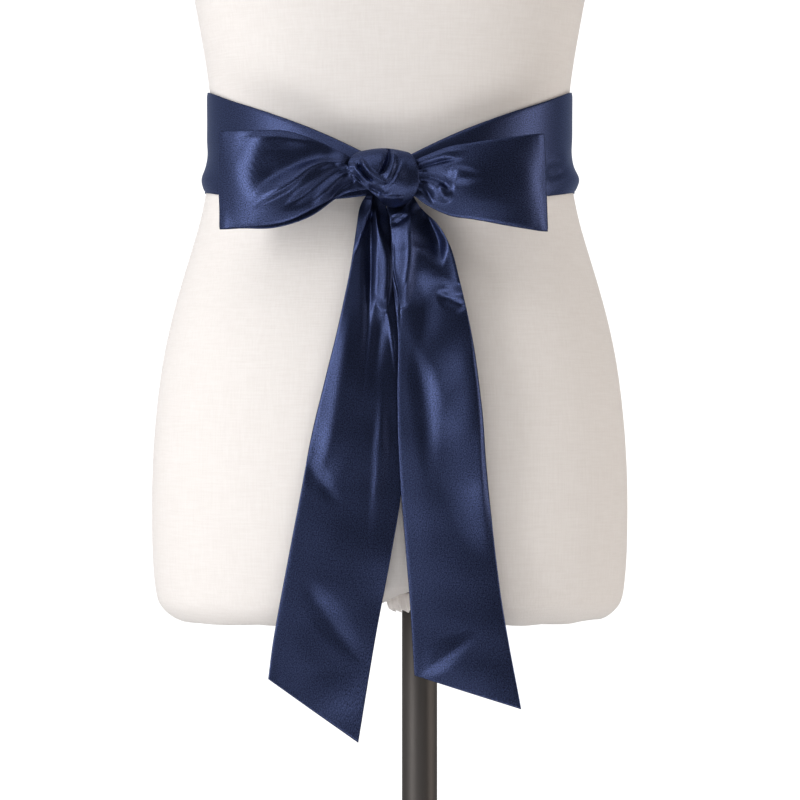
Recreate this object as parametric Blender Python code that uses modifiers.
"""A satin sash tied in a bow round a dress form on a steel stand.

The sash is one long strip of doubled satin, 70 mm wide. Each stretch of it that shows is its own
wall of cloth: the band round the waist, the two bow loops, the wrap of the knot and the two tails.
The dress form is a smooth foam torso with a blind socket, which stands on a tube, a collar and a
round base plate.

Metres, +Z up. The origin is the centre of the base plate's underside, on the tube's axis. The bow
faces -Y, and +X is to the right of someone who looks at the bow.
"""

import math
from collections import namedtuple

import bmesh
import bpy
import numpy as np

MM = 0.001

# --- driving dimensions ---------------------------------------------------------------------------
CLOTH = 1.2 * MM  # wall of the doubled satin
SEAT_GAP = 0.3 * MM  # between pieces that rest on each other

FORM_X = -21.2 * MM  # the torso's middle plane, which is beside the tube's axis
FORM_POWER = 2.2  # how square the torso's level sections are; 2 is an ellipse
RIM_ARCH = 10 * MM  # how far the torso's lower rim rises at its middle
RIM_ARCH_REACH = 34 * MM
BUST_OUT = 24 * MM
BUST_HEIGHT = 1.238
BUST_SPACING = 78 * MM
BUST_REACH = 46 * MM

TUBE_RADIUS = 12.5 * MM
SOCKET_DEPTH = 60 * MM
BASE_RADIUS = 195 * MM
BASE_THICKNESS = 5 * MM
COLLAR_RADIUS = 20 * MM
COLLAR_HEIGHT = 32 * MM
CAP_THICKNESS = 9 * MM

KNOT_X = -24.0 * MM  # the knot's middle
KNOT_Z = 0.995
NECK_Y = -121.0 * MM  # the plane through the loops' necks, inside the knot
BAND_CLEAR = 1.5 * MM  # from the torso to the middle of the band's wall
BELLY_HIGH = 0.7  # under 1, the band bellies out most above its middle line

TORSO_SIDES = 40
TORSO_RINGS = 34

# --- tables ---------------------------------------------------------------------------------------
# The torso's level sections, in metres: height above the floor, half width, depth to front and back.
Ring = namedtuple("Ring", "height half_width front back")
TORSO = (
    Ring(0.6900, 0.1500, 0.0920, 0.0950),
    Ring(0.6965, 0.1605, 0.1020, 0.1060),
    Ring(0.7120, 0.1668, 0.1078, 0.1130),
    Ring(0.7450, 0.1688, 0.1105, 0.1175),
    Ring(0.7900, 0.1693, 0.1115, 0.1190),
    Ring(0.8450, 0.1654, 0.1105, 0.1165),
    Ring(0.8870, 0.1590, 0.1080, 0.1110),
    Ring(0.9300, 0.1478, 0.1040, 0.1025),
    Ring(0.9720, 0.1345, 0.0995, 0.0940),
    Ring(1.0100, 0.1280, 0.0965, 0.0890),
    Ring(1.0450, 0.1262, 0.0950, 0.0870),
    Ring(1.0800, 0.1300, 0.0955, 0.0885),
    Ring(1.1290, 0.1390, 0.0990, 0.0960),
    Ring(1.1800, 0.1475, 0.1040, 0.1030),
    Ring(1.2380, 0.1540, 0.1080, 0.1080),
    Ring(1.3000, 0.1575, 0.1040, 0.1110),
    Ring(1.3500, 0.1640, 0.0940, 0.1080),
    Ring(1.3850, 0.1600, 0.0830, 0.1000),
    Ring(1.4120, 0.1380, 0.0720, 0.0880),
    Ring(1.4340, 0.1030, 0.0620, 0.0750),
    Ring(1.4520, 0.0740, 0.0560, 0.0640),
    Ring(1.4750, 0.0585, 0.0530, 0.0560),
    Ring(1.5200, 0.0545, 0.0510, 0.0530),
)

# A section of cloth runs straight from edge a to edge b, in millimetres from the knot's middle:
# x to the right, up, and out towards the viewer from the necks' plane. Bulge bows it outwards.
Section = namedtuple("Section", "ax aup aout bx bup bout bulge")
# A fold runs along a stretch from one distance to another, in millimetres, and drifts across it.
# Depth is outwards, or inwards where negative. Spread is its half width, as a share of the cloth's.
# Rise and fall are the lengths over which it starts and dies. Lean tips its crest towards edge b.
Fold = namedtuple("Fold", "start end across drift depth spread rise fall lean")

# The left loop leaves the knot, turns at its outer end and comes back behind. a is its top edge.
LEFT_LOOP = (
    Section(-1.5, 7.0, 3.4, -1.5, -6.0, 3.4, 0.0),
    Section(-15.0, 10.5, 3.8, -15.0, -7.0, 3.8, 0.5),
    Section(-27.0, 16.0, 5.5, -26.0, -9.5, 6.0, 2.0),
    Section(-45.0, 24.5, 9.0, -45.0, -19.5, 11.5, 4.0),
    Section(-65.0, 31.0, 9.0, -65.0, -29.5, 14.0, 6.0),
    Section(-88.0, 32.0, 4.0, -88.0, -33.0, 8.5, 5.0),
    Section(-105.0, 32.3, -2.5, -104.0, -33.8, 0.5, 2.0),
    Section(-111.6, 32.4, -6.0, -110.3, -34.0, -4.0, 0.0),
    Section(-113.2, 32.4, -8.2, -111.9, -34.1, -6.4, 0.0),
    Section(-111.0, 32.3, -10.2, -109.7, -34.0, -8.6, 0.0),
    Section(-100.0, 31.9, -11.0, -99.0, -33.0, -9.6, 0.0),
    Section(-75.0, 30.5, -8.5, -75.0, -30.5, -7.5, 1.0),
    Section(-50.0, 24.0, -6.0, -50.0, -22.0, -5.0, 1.0),
    Section(-28.0, 15.0, -4.6, -28.0, -10.5, -4.2, 0.5),
    Section(-15.0, 10.0, -3.8, -15.0, -7.5, -3.8, 0.0),
    Section(-1.5, 6.5, -3.4, -1.5, -6.5, -3.4, 0.0),
)
LEFT_LOOP_FOLDS = (
    Fold(4, 112, 0.40, 0.42, 6.5, 0.13, 25, 52, 0.15),
    Fold(0, 84, 0.66, 0.10, -4.5, 0.11, 14, 40, 0.0),
    Fold(0, 70, 0.86, -0.04, 3.6, 0.10, 12, 34, 0.0),
    Fold(0, 92, 0.14, 0.06, -2.8, 0.10, 12, 46, 0.0),
    Fold(46, 112, 0.36, -0.02, -3.0, 0.24, 22, 30, 0.0),
    Fold(130, 232, 0.30, 0.06, 2.6, 0.13, 40, 12, 0.0),
    Fold(150, 232, 0.66, -0.04, -2.4, 0.13, 40, 12, 0.0),
)

# The right loop is the same, turned round: a is its bottom edge.
RIGHT_LOOP = (
    Section(1.5, -8.0, 3.4, 1.5, 7.5, 3.4, 0.0),
    Section(15.0, -9.5, 3.8, 15.0, 10.0, 3.8, 0.5),
    Section(28.0, -18.5, 6.5, 28.0, 15.5, 5.5, 2.5),
    Section(44.0, -25.8, 9.5, 44.0, 21.4, 7.5, 4.0),
    Section(64.0, -29.2, 9.5, 64.0, 24.6, 7.0, 4.0),
    Section(85.0, -32.4, 5.5, 85.0, 27.8, 3.0, 3.0),
    Section(101.0, -34.8, 0.0, 100.0, 30.0, -1.5, 1.5),
    Section(107.8, -35.4, -3.6, 105.8, 30.6, -4.6, 0.0),
    Section(109.8, -35.5, -6.2, 107.6, 30.7, -7.0, 0.0),
    Section(107.4, -35.4, -8.6, 105.4, 30.6, -9.2, 0.0),
    Section(96.0, -33.6, -10.4, 95.0, 29.6, -10.6, 0.0),
    Section(72.0, -29.5, -8.6, 72.0, 27.0, -9.0, 1.0),
    Section(48.0, -24.0, -6.0, 48.0, 22.0, -6.4, 1.0),
    Section(28.0, -15.0, -4.4, 28.0, 15.0, -4.8, 0.5),
    Section(15.0, -8.5, -3.8, 15.0, 9.5, -3.8, 0.0),
    Section(1.5, -7.0, -3.4, 1.5, 7.0, -3.4, 0.0),
)
RIGHT_LOOP_FOLDS = (
    Fold(4, 78, 0.60, 0.04, 5.5, 0.12, 28, 42, -0.1),
    Fold(0, 64, 0.36, -0.04, -4.0, 0.11, 14, 34, 0.0),
    Fold(0, 52, 0.18, -0.04, 3.4, 0.09, 12, 26, 0.0),
    Fold(0, 74, 0.82, 0.04, -3.2, 0.09, 12, 40, 0.0),
    Fold(44, 112, 0.62, 0.16, 2.0, 0.20, 24, 30, 0.0),
    Fold(130, 226, 0.34, 0.02, 2.4, 0.13, 40, 12, 0.0),
    Fold(150, 226, 0.66, 0.02, -2.4, 0.13, 40, 12, 0.0),
)

# The tails hang from behind the knot. a is the left edge and b the right.
LEFT_TAIL = (
    Section(-10.0, -6.0, -11.4, 0.0, -6.0, -11.4, 0.0),
    Section(-15.5, -16.5, -11.2, 0.6, -17.5, -11.2, 0.0),
    Section(-19.0, -32.0, -5.5, 2.4, -33.0, -6.5, 1.5),
    Section(-23.0, -56.0, -3.5, 3.6, -56.0, -5.5, 1.5),
    Section(-29.0, -86.0, -2.5, 3.2, -86.0, -5.0, 0.5),
    Section(-40.0, -133.0, -2.0, 6.6, -136.0, -1.0, 0.5),
    Section(-49.5, -171.0, -2.0, 9.4, -175.0, 0.5, 0.5),
    Section(-56.8, -210.0, -2.5, 10.2, -209.0, 1.0, 0.0),
    Section(-66.0, -258.0, -3.0, 3.0, -259.0, 1.0, 0.0),
    Section(-75.5, -310.0, -3.0, -7.0, -312.0, 0.0, 0.0),
    Section(-79.2, -338.0, -2.0, -18.3, -381.0, -1.0, 0.0),
)
LEFT_TAIL_FOLDS = (
    Fold(0, 250, 0.40, 0.12, -8.5, 0.13, 20, 190, 0.0),
    Fold(6, 160, 0.72, 0.04, 4.6, 0.12, 24, 110, 0.1),
    Fold(6, 130, 0.10, 0.02, 3.8, 0.09, 24, 90, -0.5),
    Fold(70, 300, 0.86, -0.06, 2.6, 0.16, 60, 90, 0.0),
    Fold(150, 330, 0.30, 0.30, -2.4, 0.22, 60, 70, 0.0),
    Fold(250, 400, 0.24, 0.26, 2.6, 0.24, 60, 60, 0.0),
)
RIGHT_TAIL = (
    Section(3.0, -7.0, -11.4, 17.0, -8.0, -11.4, 0.0),
    Section(1.0, -17.5, -11.2, 23.0, -18.0, -11.2, 0.0),
    Section(3.0, -28.0, -3.0, 33.5, -28.5, -6.0, 4.0),
    Section(4.2, -44.0, -1.0, 42.5, -43.0, -3.5, 4.5),
    Section(5.2, -70.0, -1.5, 50.4, -70.0, -3.0, 5.0),
    Section(8.4, -106.0, -2.5, 58.6, -107.0, -3.5, 6.5),
    Section(8.0, -150.0, -5.0, 64.4, -150.0, -5.0, 9.0),
    Section(9.5, -198.0, -5.5, 68.5, -198.0, -5.5, 10.5),
    Section(12.8, -240.0, -5.5, 72.8, -240.0, -6.0, 10.5),
    Section(16.4, -285.0, -5.0, 79.0, -288.0, -6.0, 9.0),
    Section(19.6, -335.5, -4.0, 91.8, -358.5, -5.0, 5.0),
)
RIGHT_TAIL_FOLDS = (
    Fold(0, 150, 0.64, 0.02, -8.0, 0.15, 24, 100, 0.0),
    Fold(8, 170, 0.22, 0.04, 4.4, 0.11, 24, 120, 0.1),
    Fold(8, 120, 0.92, -0.04, 3.4, 0.09, 24, 80, 0.2),
    Fold(60, 210, 0.36, 0.02, -4.0, 0.15, 50, 90, 0.0),
    Fold(70, 190, 0.82, 0.0, 3.6, 0.15, 40, 80, 0.0),
    Fold(180, 390, 0.40, 0.10, 2.8, 0.20, 70, 90, 0.0),
    Fold(240, 400, 0.80, -0.10, -2.4, 0.16, 60, 70, 0.0),
)

# The wrap goes round the necks. Turn is the angle about them, in degrees: 90 is above them, 180 in
# front and 270 below. Left and right are its edges and belly its bow between them, in millimetres.
Wrap = namedtuple("Wrap", "turn left right belly")
KNOT = (
    Wrap(36.0, -14.0, 15.0, 1.0),
    Wrap(64.0, -19.0, 20.0, 2.6),
    Wrap(92.0, -22.0, 23.0, 3.4),
    Wrap(120.0, -23.5, 24.0, 3.4),
    Wrap(148.0, -23.0, 24.0, 3.4),
    Wrap(176.0, -19.5, 22.5, 3.4),
    Wrap(204.0, -12.0, 20.5, 3.4),
    Wrap(228.0, -5.0, 17.5, 3.2),
    Wrap(252.0, -2.0, 14.5, 2.6),
    Wrap(284.0, -2.0, 12.0, 1.0),
    Wrap(321.0, -2.0, 11.0, 0.6),
)
KNOT_HALF_HEIGHT = 17.6 * MM
KNOT_HALF_DEPTH = 12.6 * MM
KNOT_FOLDS = (
    Fold(0, 62, 0.56, -0.16, -4.2, 0.075, 10, 18, -0.25),
    Fold(18, 66, 0.74, -0.20, -2.2, 0.06, 16, 14, -0.3),
    Fold(14, 64, 0.22, 0.08, -2.4, 0.07, 14, 16, 0.2),
    Fold(22, 64, 0.36, 0.02, 1.8, 0.07, 14, 18, 0.0),
    Fold(4, 60, 0.88, -0.04, -1.2, 0.07, 16, 24, 0.0),
)

# The band leaves the knot to the left, goes round the back and returns. Turn is in degrees about
# the torso from its front. Top and bottom are heights of its edges, lift is how far the whole width
# stands off the torso, and slack how far its middle bellies out besides, all in millimetres.
Band = namedtuple("Band", "turn top bottom lift slack")
BAND_HALF = (
    Band(2.5, 12.0, -9.0, 7.8, 1.0),
    Band(10.0, 19.0, -11.0, 5.6, 1.5),
    Band(24.0, 31.0, -13.0, 1.0, 2.2),
    Band(40.0, 43.0, -12.0, 0.0, 1.8),
    Band(60.0, 56.0, -8.5, 0.0, 1.4),
    Band(80.0, 66.5, -4.0, 0.0, 1.6),
    Band(100.0, 69.0, -2.5, 0.0, 1.6),
    Band(130.0, 69.5, -2.0, 0.0, 0.8),
    Band(180.0, 70.0, -1.5, 0.0, 0.4),
)
BAND_FOLDS = (
    Fold(0, 110, 0.30, -0.10, 2.6, 0.12, 20, 70, 0.0),
    Fold(0, 90, 0.68, 0.04, 2.6, 0.12, 20, 60, 0.0),
    Fold(90, 190, 0.70, 0.04, 2.2, 0.13, 50, 60, 0.0),
    Fold(250, 430, 0.40, 0.18, 1.3, 0.12, 70, 80, 0.0),
    Fold(540, 650, 0.74, -0.06, 2.2, 0.13, 50, 50, 0.0),
    Fold(620, 720, 0.66, 0.02, 2.6, 0.12, 60, 20, 0.0),
    Fold(600, 720, 0.26, 0.06, 2.6, 0.12, 70, 20, 0.0),
)


# --- curves ---------------------------------------------------------------------------------------
def curve_through(stations, values, at):
    """Values at the places asked for, on a smooth curve through the rows of values at stations."""
    stations, values = np.asarray(stations, float), np.asarray(values, float)
    at = np.clip(np.asarray(at, float), stations[0], stations[-1])
    slopes = np.gradient(values, stations, axis=0)
    i = np.clip(np.searchsorted(stations, at, side="right") - 1, 0, len(stations) - 2)
    step = (stations[i + 1] - stations[i])[:, None]
    t = (at - stations[i])[:, None] / step
    return (
        (2 * t**3 - 3 * t**2 + 1) * values[i]
        + (t**3 - 2 * t**2 + t) * step * slopes[i]
        + (3 * t**2 - 2 * t**3) * values[i + 1]
        + (t**3 - t**2) * step * slopes[i + 1]
    )


def eased(x):
    """0 below 0, 1 above 1 and smooth between."""
    x = np.clip(x, 0.0, 1.0)
    return x * x * (3 - 2 * x)


# --- the torso ------------------------------------------------------------------------------------
def torso_ring(height, turns):
    """Points of the torso at a height, at turns in radians from its front towards +X."""
    half_width, front, back = curve_through(
        [r.height for r in TORSO], [r[1:] for r in TORSO], [height]
    )[0]
    sideways, ahead = np.sin(turns), np.cos(turns)
    power = 2 / FORM_POWER
    x = half_width * np.sign(sideways) * np.abs(sideways) ** power
    y = -np.where(ahead > 0, front, back) * np.sign(ahead) * np.abs(ahead) ** power
    breasts = np.exp(-(((np.abs(x) - BUST_SPACING) / BUST_REACH) ** 2))
    rise = math.exp(-(((height - BUST_HEIGHT) / BUST_REACH) ** 2))
    y = y - BUST_OUT * rise * breasts * np.clip(ahead, 0, 1)
    low = TORSO[3].height
    arch = RIM_ARCH * eased((low - height) / (low - TORSO[0].height))
    z = height + arch * np.exp(-((x / RIM_ARCH_REACH) ** 2))
    return np.stack([x + FORM_X, y, z], axis=-1)


def torso_grid():
    heights = np.array([r.height for r in TORSO])
    rings = np.interp(np.linspace(0, len(heights) - 1, TORSO_RINGS), range(len(heights)), heights)
    turns = np.arange(TORSO_SIDES) * math.tau / TORSO_SIDES
    return np.array([torso_ring(z, turns) for z in rings])


# --- the cloth ------------------------------------------------------------------------------------
def folded(ruled, folds, bulge):
    """The straight-ruled surface, bowed outwards and folded."""
    middle = ruled.mean(axis=1)
    along = np.concatenate([[0], np.cumsum(np.linalg.norm(np.diff(middle, axis=0), axis=1))])
    along = along[:, None] / MM
    across = np.linspace(0, 1, ruled.shape[1])[None, :]
    sideways = ruled[:, -1] - ruled[:, 0]
    forwards = np.gradient(middle, axis=0)
    outwards = np.cross(forwards, sideways)
    outwards /= np.linalg.norm(outwards, axis=1, keepdims=True)
    sideways /= np.linalg.norm(sideways, axis=1, keepdims=True)
    out = bulge[:, None] * np.sin(math.pi * across)
    over = np.zeros_like(out)
    for f in folds:
        share = (along - f.start) / (f.end - f.start)
        lasting = eased((along - f.start) / f.rise) * eased((f.end - along) / f.fall)
        where = (across - f.across - f.drift * np.clip(share, 0, 1)) / f.spread
        height = f.depth * lasting / np.cosh(where) ** 2
        out = out + height
        over = over + height * f.lean
    return ruled + MM * (out[..., None] * outwards[:, None] + over[..., None] * sideways[:, None])


def stretch_of(sections, folds, along_steps, across_steps):
    """A grid of points on a stretch of cloth that is given by sections."""
    rows = np.array(sections)
    edge_a, edge_b, bulge = rows[:, 0:3], rows[:, 3:6], rows[:, 6:7]
    gaps = np.linalg.norm(np.diff((edge_a + edge_b) / 2, axis=0), axis=1)
    stations = np.concatenate([[0], np.cumsum(gaps)])
    at = np.interp(np.linspace(0, len(rows) - 1, along_steps + 1), range(len(rows)), stations)
    ends = curve_through(stations, np.hstack([edge_a, edge_b, bulge]), at)
    across = np.linspace(0, 1, across_steps + 1)[None, :, None]
    x, up, out = np.moveaxis(ends[:, None, 0:3] * (1 - across) + ends[:, None, 3:6] * across, 2, 0)
    ruled = np.stack([KNOT_X + x * MM, NECK_Y - out * MM, KNOT_Z + up * MM], axis=-1)
    return folded(ruled, folds, ends[:, 6])


def knot_grid(along_steps, across_steps):
    rows = np.array(KNOT)
    at = np.linspace(0, len(rows) - 1, along_steps + 1)
    turn, left, right, belly = curve_through(range(len(rows)), rows, at).T
    turn = np.radians(turn)[:, None]
    across = np.linspace(0, 1, across_steps + 1)[None, :]
    x = KNOT_X + MM * (left[:, None] * (1 - across) + right[:, None] * across)
    level = np.ones_like(across)
    y = NECK_Y + KNOT_HALF_DEPTH * np.cos(turn) * level
    z = KNOT_Z + KNOT_HALF_HEIGHT * np.sin(turn) * level
    ruled = np.stack([x, y, z], axis=-1)
    return folded(ruled, KNOT_FOLDS, belly)


def band_grid(along_steps, across_steps):
    back_half = [Band(360 - b.turn, *b[1:]) for b in reversed(BAND_HALF[:-1])]
    rows = np.array([*BAND_HALF, *back_half])
    at = np.linspace(rows[0, 0], rows[-1, 0], along_steps + 1)
    turn, top, bottom, lift, slack = curve_through(rows[:, 0], rows, at).T
    across = np.linspace(0, 1, across_steps + 1)
    ruled = np.empty((along_steps + 1, across_steps + 1, 3))
    start = math.asin((KNOT_X - FORM_X) / TORSO[9].half_width)
    for i, angle in enumerate(np.radians(turn)):
        for j, share in enumerate(across):
            height = KNOT_Z + MM * (top[i] * (1 - share) + bottom[i] * share)
            point = torso_ring(height, np.array([start - angle]))[0]
            outwards = np.array([point[0] - FORM_X, point[1] * 1.6, 0])
            outwards /= np.linalg.norm(outwards)
            belly = slack[i] * math.sin(math.pi * share**BELLY_HIGH)
            stand_off = BAND_CLEAR + MM * (lift[i] + belly)
            ruled[i, j] = point + outwards * stand_off
    return folded(ruled, BAND_FOLDS, np.zeros(along_steps + 1))


# --- building -------------------------------------------------------------------------------------
def clear_scene():
    for obj in list(bpy.data.objects):
        bpy.data.objects.remove(obj)


def collection_named(name):
    found = bpy.data.collections.new(name)
    bpy.context.scene.collection.children.link(found)
    return found


def material_named(name, colour, roughness, metallic=0.0):
    made = bpy.data.materials.new(name)
    made.use_nodes = True
    shader = made.node_tree.nodes["Principled BSDF"]
    shader.inputs["Base Color"].default_value = (*colour, 1.0)
    shader.inputs["Roughness"].default_value = roughness
    shader.inputs["Metallic"].default_value = metallic
    return made


def object_of(name, mesh, material, home):
    made = bpy.data.objects.new(name, mesh)
    mesh.materials.append(material)
    home.objects.link(made)
    return made


def loft(points, around=False, capped=False):
    """A mesh through a grid of points. Around closes each row on itself, and capped fills the ends."""
    shape = bmesh.new()
    rows = [[shape.verts.new(p) for p in row] for row in points]
    for row, above in zip(rows, rows[1:]):
        pairs = list(zip(range(len(row)), range(1, len(row))))
        if around:
            pairs.append((len(row) - 1, 0))
        for i, j in pairs:
            shape.faces.new((row[i], row[j], above[j], above[i]))
    if capped:
        shape.faces.new(rows[0][::-1])
        shape.faces.new(rows[-1])
    if around:
        bmesh.ops.recalc_face_normals(shape, faces=shape.faces)
    mesh = bpy.data.meshes.new("loft")
    shape.to_mesh(mesh)
    shape.free()
    mesh.shade_smooth()
    return mesh


def cloth(name, points, satin, home):
    """A wall of cloth whose middle is the grid of points."""
    made = object_of(name, loft(points), satin, home)
    wall = made.modifiers.new("wall", "SOLIDIFY")
    wall.thickness = CLOTH
    wall.offset = 0.0
    return made


def disc(name, radius, thickness, low, sides, material, home):
    """A round plate whose underside is at the height low, with a small bevel round its rims."""
    shape = bmesh.new()
    bmesh.ops.create_cone(
        shape, cap_ends=True, segments=sides, radius1=radius, radius2=radius, depth=thickness
    )
    mesh = bpy.data.meshes.new(name)
    shape.to_mesh(mesh)
    shape.free()
    made = object_of(name, mesh, material, home)
    made.location.z = low + thickness / 2
    return made


def bevelled(obj, width):
    edge = obj.modifiers.new("edge", "BEVEL")
    edge.width = width
    edge.segments = 2
    edge.limit_method = "ANGLE"
    return obj


def cut(obj, cutter, cutters):
    cutter.hide_render = True
    cutter.display_type = "WIRE"
    for home in list(cutter.users_collection):
        home.objects.unlink(cutter)
    cutters.objects.link(cutter)
    hole = obj.modifiers.new("hole", "BOOLEAN")
    hole.operation = "DIFFERENCE"
    hole.object = cutter


def build_torso(linen, home, cutters):
    torso = object_of("torso", loft(torso_grid(), around=True, capped=True), linen, home)
    floor = TORSO[0].height
    bore = TUBE_RADIUS + SEAT_GAP
    cutter = disc("socket", bore, 2 * SOCKET_DEPTH, floor - SOCKET_DEPTH, 32, linen, home)
    cut(torso, cutter, cutters)


def build_neck_cap(wood, home):
    neck = TORSO[-1]
    cap = disc("neck_cap", 1.0, CAP_THICKNESS, neck.height + SEAT_GAP, 40, wood, home)
    for vertex in cap.data.vertices:
        vertex.co.x *= neck.half_width * 0.97
        vertex.co.y *= neck.front * 0.97
    cap.location.x = FORM_X
    bevelled(cap, 2 * MM)


def build_stand(steel, home, cutters):
    bevelled(disc("base_plate", BASE_RADIUS, BASE_THICKNESS, 0.0, 64, steel, home), 1.5 * MM)
    foot = BASE_THICKNESS + SEAT_GAP
    top = TORSO[0].height + SOCKET_DEPTH - SEAT_GAP
    disc("stand_tube", TUBE_RADIUS, top - foot, foot, 32, steel, home)
    collar = disc("base_collar", COLLAR_RADIUS, COLLAR_HEIGHT, foot, 32, steel, home)
    bore = disc(
        "collar_bore", TUBE_RADIUS + SEAT_GAP, 2 * COLLAR_HEIGHT, foot - COLLAR_HEIGHT / 2, 32, steel, home
    )
    cut(collar, bore, cutters)


def build_sash(satin, home):
    cloth("waist_band", band_grid(60, 8), satin, home)
    cloth("left_loop", stretch_of(LEFT_LOOP, LEFT_LOOP_FOLDS, 30, 13), satin, home)
    cloth("right_loop", stretch_of(RIGHT_LOOP, RIGHT_LOOP_FOLDS, 30, 13), satin, home)
    cloth("left_tail", stretch_of(LEFT_TAIL, LEFT_TAIL_FOLDS, 20, 16), satin, home)
    cloth("right_tail", stretch_of(RIGHT_TAIL, RIGHT_TAIL_FOLDS, 20, 16), satin, home)
    cloth("knot_wrap", knot_grid(18, 14), satin, home)


def main():
    clear_scene()
    home = collection_named("satin_sash_on_dress_form")
    cutters = collection_named("cutters")
    satin = material_named("navy_satin", (0.016, 0.022, 0.075), 0.35)
    linen = material_named("cream_linen", (0.72, 0.66, 0.60), 0.9)
    steel = material_named("dark_steel", (0.10, 0.095, 0.09), 0.4, 1.0)
    wood = material_named("pale_wood", (0.62, 0.47, 0.32), 0.55)
    build_torso(linen, home, cutters)
    build_neck_cap(wood, home)
    build_stand(steel, home, cutters)
    build_sash(satin, home)


main()
